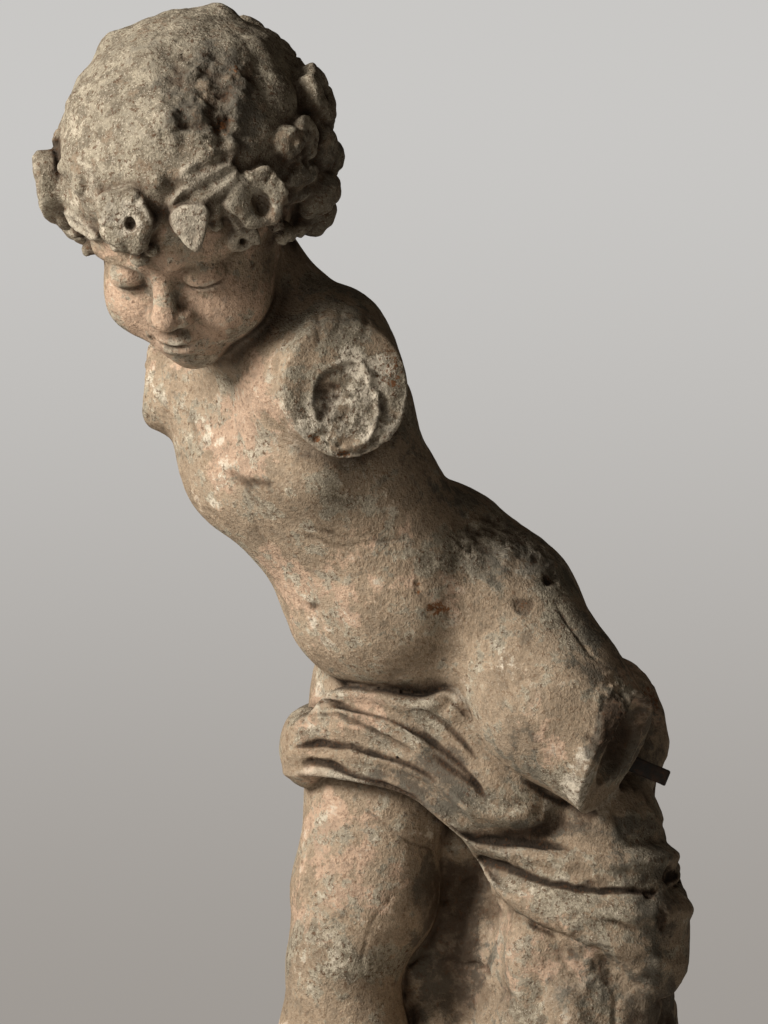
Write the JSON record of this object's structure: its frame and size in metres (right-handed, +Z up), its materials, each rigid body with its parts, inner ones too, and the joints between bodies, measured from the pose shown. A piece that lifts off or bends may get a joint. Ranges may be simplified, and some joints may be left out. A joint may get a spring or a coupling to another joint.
{
  "type": "stone putto statue",
  "caption": "Weathered armless stone putto leaning over a tree stump, with a rose wreath, a cloth round its hips and an iron bar in the broken thigh.",
  "frame": {"origin": "middle of the base's underside", "axes": "+Z up; the figure looks out over -Y and bends towards -X; +X runs towards the tree stump"},
  "size_m": [0.4359, 0.3469, 0.8678],
  "materials": {
    "stone": "weathered, gritty, with lichen and dark grime",
    "iron": "rusted, matt"
  },
  "bodies": {
    "root": {"putto": "stone", "iron_bar": "iron"}
  },
  "joints": []
}
